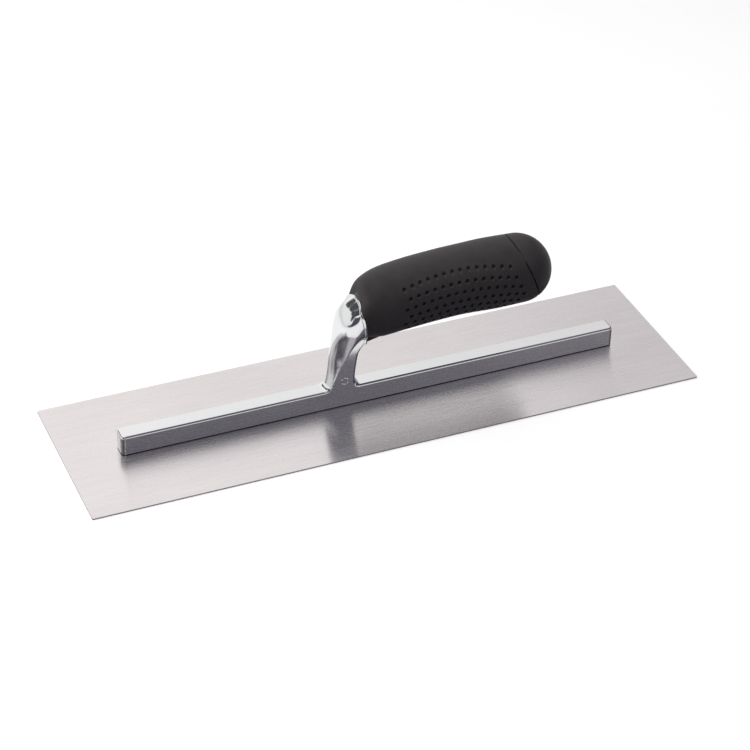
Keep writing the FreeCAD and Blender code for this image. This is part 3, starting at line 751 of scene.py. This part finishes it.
class Surface:
    """A principled material and short ways to add procedural detail to it."""

    def __init__(self, name, **values):
        self.material = bpy.data.materials.new(name)
        self.material.use_nodes = True
        self.nodes = self.material.node_tree.nodes
        self.links = self.material.node_tree.links
        self.shader = self.nodes["Principled BSDF"]
        for socket, value in values.items():
            self.shader.inputs[socket.replace("_", " ")].default_value = value
        self.place = self.nodes.new("ShaderNodeTexCoord").outputs["Object"]

    def noise(self, scale, detail=3.0, stretch=(1, 1, 1)):
        """Noise with 'scale' features per metre, stretched along the axes."""
        mapping = self.nodes.new("ShaderNodeMapping")
        mapping.inputs["Scale"].default_value = stretch
        self.links.new(self.place, mapping.inputs["Vector"])
        texture = self.nodes.new("ShaderNodeTexNoise")
        texture.inputs["Scale"].default_value = scale
        texture.inputs["Detail"].default_value = detail
        self.links.new(mapping.outputs[0], texture.inputs["Vector"])
        return texture.outputs[0]

    def remap(self, value, low, high, start=0.3, end=0.7):
        """Values from 'start' to 'end' become 'low' to 'high', and none lies beyond them."""
        node = self.nodes.new("ShaderNodeMapRange")
        for socket, number in (("From Min", start), ("From Max", end), ("To Min", low), ("To Max", high)):
            node.inputs[socket].default_value = number
        self.links.new(value, node.inputs["Value"])
        return node.outputs[0]

    def combine(self, operation, first, second):
        """Sum, product or the like of two values, each a number or a node's output."""
        node = self.nodes.new("ShaderNodeMath")
        node.operation = operation
        for index, value in enumerate((first, second)):
            if isinstance(value, (int, float)):
                node.inputs[index].default_value = value
            else:
                self.links.new(value, node.inputs[index])
        return node.outputs[0]

    def tint(self, factor, dark, light):
        """Base colour between two shades, by a factor."""
        colour = mix_colours(self.nodes, self.links, factor, dark, light)
        self.links.new(colour, self.shader.inputs["Base Color"])

    def paint_upright_shade(self, colour):
        """Painted shade: a darker base colour on faces that stand upright, such as a sheet's cut edges,
        standing in for the dark shadow line along them.
        """
        split = self.nodes.new("ShaderNodeSeparateXYZ")
        self.links.new(self.nodes.new("ShaderNodeTexCoord").outputs["Normal"], split.inputs[0])
        upright = self.remap(self.combine("ABSOLUTE", split.outputs["Z"], 0.0), 1, 0, 0.2, 0.6)
        before = self.shader.inputs["Base Color"].links[0].from_socket
        mixed = mix_colours(self.nodes, self.links, upright, before, colour)
        self.links.new(mixed, self.shader.inputs["Base Color"])

    def roughness(self, value):
        self.links.new(value, self.shader.inputs["Roughness"])

    def bump(self, *layers):
        """Bump layers as (height, depth in millimetres), one on another."""
        normal = None
        for height, depth in layers:
            node = self.nodes.new("ShaderNodeBump")
            node.inputs["Distance"].default_value = depth * MM
            self.links.new(height, node.inputs["Height"])
            if normal is not None:
                self.links.new(normal, node.inputs["Normal"])
            normal = node.outputs["Normal"]
        self.links.new(normal, self.shader.inputs["Normal"])

    def tangent(self, axis):
        """Reflections are drawn out along this axis, across the grain."""
        node = self.nodes.new("ShaderNodeCombineXYZ")
        node.inputs[axis].default_value = 1.0
        self.links.new(node.outputs[0], self.shader.inputs["Tangent"])


def brushed_blade():
    """Spring steel with a fine lengthwise grain and a few longer scratches."""
    look = Surface("brushed_blade_steel", Metallic=1.0, Anisotropic=0.95)
    grain = look.noise(1500, 3.0, (0.03, 1, 1))
    streaks = look.noise(320, 4.0, (0.03, 1, 1))
    clouds = look.noise(11, 2.0)
    fine, coarse = look.combine("MULTIPLY", grain, 0.7), look.combine("MULTIPLY", streaks, 0.3)
    shade = look.remap(look.combine("ADD", fine, coarse), 0, 1)
    look.tint(shade, (0.80, 0.765, 0.775), (0.89, 0.855, 0.865))
    unevenness = look.remap(clouds, -0.015, 0.015)
    look.roughness(look.combine("ADD", look.remap(grain, 0.23, 0.30), unevenness))
    look.bump((grain, 0.0012), (streaks, 0.0012))
    look.tangent("Y")
    # Painted shade: the blade's cut edges are darkened, standing in for the dark line of shadow along
    # them.
    look.paint_upright_shade((0.16, 0.14, 0.16))
    return look.material


def rivet_steel():
    """Rivet heads ground flush: the same steel with a coarser turned grain."""
    look = Surface("ground_rivet_steel", Metallic=1.0)
    grain = look.noise(2200, 4.0, (0.05, 1, 1))
    look.tint(look.remap(grain, 0, 1), (0.50, 0.49, 0.48), (0.66, 0.65, 0.64))
    look.roughness(look.remap(grain, 0.28, 0.42))
    look.bump((grain, 0.006))
    return look.material


def cast_aluminium():
    """Polished casting: clean and bright, with faint waves and pits left from casting."""
    look = Surface("polished_cast_aluminium", Metallic=1.0)
    waves = look.noise(90, 2.0)
    pits = look.noise(1500, 3.0)
    scuffs = look.noise(700, 4.0, (0.3, 1, 1))
    hue = look.noise(9, 1.0)
    shade = look.combine("MULTIPLY", look.remap(pits, 0.6, 1, 0.3, 0.5), look.remap(hue, 0.3, 1))
    look.tint(shade, (0.69, 0.735, 0.73), (0.80, 0.79, 0.805))
    look.roughness(look.combine("ADD", look.remap(scuffs, 0.07, 0.15), look.remap(pits, 0.03, 0.0)))
    look.bump((waves, 0.02), (pits, 0.0015), (scuffs, 0.0015))
    return look.material


def joint_painted_shade():
    """Painted shade: a dark colour in the narrow joint between bar and blade, standing in for the shadow
    there.
    """
    look = Surface("joint_painted_shade", Metallic=0.0, Specular_IOR_Level=0.2)
    shade_mottle = look.noise(900, 4.0)
    look.tint(look.remap(shade_mottle, 0, 1), (0.02, 0.018, 0.024), (0.07, 0.065, 0.075))
    look.roughness(look.remap(shade_mottle, 0.7, 0.9))
    look.bump((shade_mottle, 0.03))
    return look.material


def soft_rubber(name):
    """Black satin elastomer with a fine moulded texture."""
    look = Surface(name, Metallic=0.0, Specular_IOR_Level=0.12, Sheen_Weight=0.05, Sheen_Roughness=0.5)
    grit = look.noise(1900, 3.0)
    mottle = look.noise(140, 3.0)
    look.tint(look.remap(mottle, 0, 1), (0.040, 0.036, 0.0375), (0.049, 0.0445, 0.0455))
    look.roughness(look.remap(mottle, 0.48, 0.58))
    look.bump((grit, 0.012), (mottle, 0.03))
    return look.material


def core_plastic():
    """Hard black plastic of the handle's core, which the grip covers."""
    look = Surface("moulded_core_plastic", Metallic=0.0)
    grit = look.noise(1800, 3.0)
    look.tint(look.remap(grit, 0, 1), (0.03, 0.03, 0.03), (0.05, 0.05, 0.05))
    look.roughness(look.remap(grit, 0.4, 0.55))
    look.bump((grit, 0.02))
    return look.material


def zinc_plate():
    """Bright zinc on the bolt and its washers, which the grip covers."""
    look = Surface("zinc_plated_steel", Metallic=1.0)
    bloom = look.noise(500, 4.0)
    look.tint(look.remap(bloom, 0, 1), (0.52, 0.53, 0.56), (0.68, 0.69, 0.71))
    look.roughness(look.remap(bloom, 0.25, 0.4))
    look.bump((bloom, 0.005))
    return look.material


def pale_floor():
    """White paper that glows a little, so that shadows on it stay faint."""
    look = Surface("pale_floor", Metallic=0.0, Roughness=0.9, Emission_Strength=0.19)
    look.shader.inputs["Emission Color"].default_value = (1, 1, 1, 1)
    cloth = look.noise(3, 2.0)
    look.tint(look.remap(cloth, 0, 1), (0.90, 0.90, 0.90), (0.92, 0.92, 0.92))
    return look.material


def dress(node, material):
    """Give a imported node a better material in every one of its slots."""
    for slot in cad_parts[node].material_slots:
        slot.material = material


# ---------------------------------------------------------------- stage

FLOOR_REACH, FLOOR_GAP = 12.0, 0.0002         # metres: half its side, and its drop below the sole


def make_floor():
    """Pale floor. Matt surfaces take no light from it, so the grip stays black underneath."""
    corners = [(-1, -1), (1, -1), (1, 1), (-1, 1)]
    mesh = bpy.data.meshes.new("studio_floor")
    mesh.from_pydata([(x * FLOOR_REACH, y * FLOOR_REACH, 0) for x, y in corners], [], [(0, 1, 2, 3)])
    floor = bpy.data.objects.new("studio_floor", mesh)
    floor.location.z = cad_box[0].z - FLOOR_GAP
    floor.visible_diffuse = False
    mesh.materials.append(pale_floor())
    bpy.context.scene.collection.objects.link(floor)


ROOM_SHADE = (0.08, 0.072, 0.10)
FLAG_SHADE = (0.07, 0.075, 0.08)
# Soft panels around the trowel: azimuth from +Y towards +X and elevation of the middle, how
# far from there the panel is full and where it ends, all in degrees, and its shade. A flag is
# a dark panel. The later ones lie over the earlier ones.
PANELS = [
    (-20, 38, 22, 66, (1.12, 1.10, 1.09)),       # backdrop
    (-62, 15, 18, 40, (1.00, 0.99, 0.98)),       # beside the toe
    (-95, 20, 9, 18, (0.98, 0.97, 0.96)),        # beside the toe, nearer the camera
    (-110, 22, 6, 13, (1.10, 1.08, 1.06)),       # small panel between the toe and the camera
    (148, 36, 6, 20, (0.20, 0.20, 0.22)),        # dim panel beside the camera
    (136, 36, 8, 17, (0.36, 0.35, 0.38)),        # dim panel farther from the camera
    (161, 3, 7, 17, (0.95, 0.95, 0.98)),         # low strip beside the camera
    (-27, 28, 8, 13, FLAG_SHADE),       # flag in front of the backdrop
    (-47, 43, 10, 14, FLAG_SHADE),               # flag beside it, higher
    (-77, 41, 9, 13, FLAG_SHADE),       # flag beside the toe
    (-99, 36, 10, 14, FLAG_SHADE),               # flag between the toe and the camera
    (-172, 57, 8, 18, (1.00, 0.98, 1.00)),       # panel above the camera
]


def direction_at(azimuth, elevation):
    """Direction from degrees; azimuth is measured from +Y towards +X."""
    azimuth, elevation = math.radians(azimuth), math.radians(elevation)
    level = math.cos(elevation)
    return Vector((math.sin(azimuth) * level, math.cos(azimuth) * level, math.sin(elevation)))


def make_world():
    """Soft panels in a dim room, worked out from the direction."""
    world = bpy.data.worlds.new("studio")
    bpy.context.scene.world = world
    world.use_nodes = True
    nodes, links = world.node_tree.nodes, world.node_tree.links
    direction = nodes.new("ShaderNodeTexCoord").outputs["Generated"]
    shade = ROOM_SHADE
    for azimuth, elevation, full, end, colour in PANELS:
        angle = nodes.new("ShaderNodeVectorMath")
        angle.operation = "DOT_PRODUCT"
        angle.inputs[1].default_value = direction_at(azimuth, elevation)
        links.new(direction, angle.inputs[0])
        mask = nodes.new("ShaderNodeMapRange")
        mask.interpolation_type = "SMOOTHSTEP"
        mask.inputs["From Min"].default_value = math.cos(math.radians(end))
        mask.inputs["From Max"].default_value = math.cos(math.radians(full))
        links.new(angle.outputs["Value"], mask.inputs["Value"])
        shade = mix_colours(nodes, links, mask.outputs[0], shade, colour)
    links.new(shade, nodes["Background"].inputs["Color"])


def make_softbox(name, place, target, size, power):
    """Soft square light for matt surfaces; it shows in no reflection."""
    data = bpy.data.lights.new(name, "AREA")
    data.size, data.energy = size, power
    lamp = bpy.data.objects.new(name, data)
    lamp.visible_glossy = False
    lamp.location = place
    lamp.rotation_euler = (Vector(target) - Vector(place)).to_track_quat("-Z", "Y").to_euler()
    bpy.context.scene.collection.objects.link(lamp)


CAMERA_TARGET, CAMERA_DISTANCE = Vector((0.0088, 0.0168, 0.0)), 1.365      # metres
CAMERA_AZIMUTH, CAMERA_ELEVATION, CAMERA_ROLL = -156.43, 35.19, 1.47       # degrees
LENS, SENSOR = 116.46, 36.0                                                # millimetres


def make_camera():
    """Long lens from the toe's near side, above; almost level."""
    back = direction_at(CAMERA_AZIMUTH, CAMERA_ELEVATION)
    roll = Matrix.Rotation(math.radians(CAMERA_ROLL), 3, "Z").to_quaternion()
    data = bpy.data.cameras.new("camera")
    data.lens, data.sensor_width = LENS, SENSOR
    camera = bpy.data.objects.new("camera", data)
    camera.location = CAMERA_TARGET + back * CAMERA_DISTANCE
    camera.rotation_mode = "QUATERNION"
    camera.rotation_quaternion = (-back).to_track_quat("-Z", "Y") @ roll
    bpy.context.scene.collection.objects.link(camera)
    bpy.context.scene.camera = camera


def main():
    """The visual model and its stage."""
    # The casting's second material is the painted shade in the joint under the bar.
    make_mounting([cast_aluminium(), joint_painted_shade()])
    make_sleeve(soft_rubber("grip_rubber_soft"))
    make_cap(soft_rubber("cap_rubber_soft"))
    dress("blade", brushed_blade())
    dress("blade_rivets", rivet_steel())
    dress("handle_core", core_plastic())
    zinc = zinc_plate()
    for node in ("handle_bolt", "plain_washer", "lock_washer"):
        dress(node, zinc)
    make_floor()
    make_world()
    over_toe = direction_at(-70, 74) * 1.6
    make_softbox("top_softbox", place=over_toe, target=(0, 0, 0), size=0.8, power=16.0)
    make_camera()
    bpy.context.scene.view_settings.view_transform = "Standard"


main()
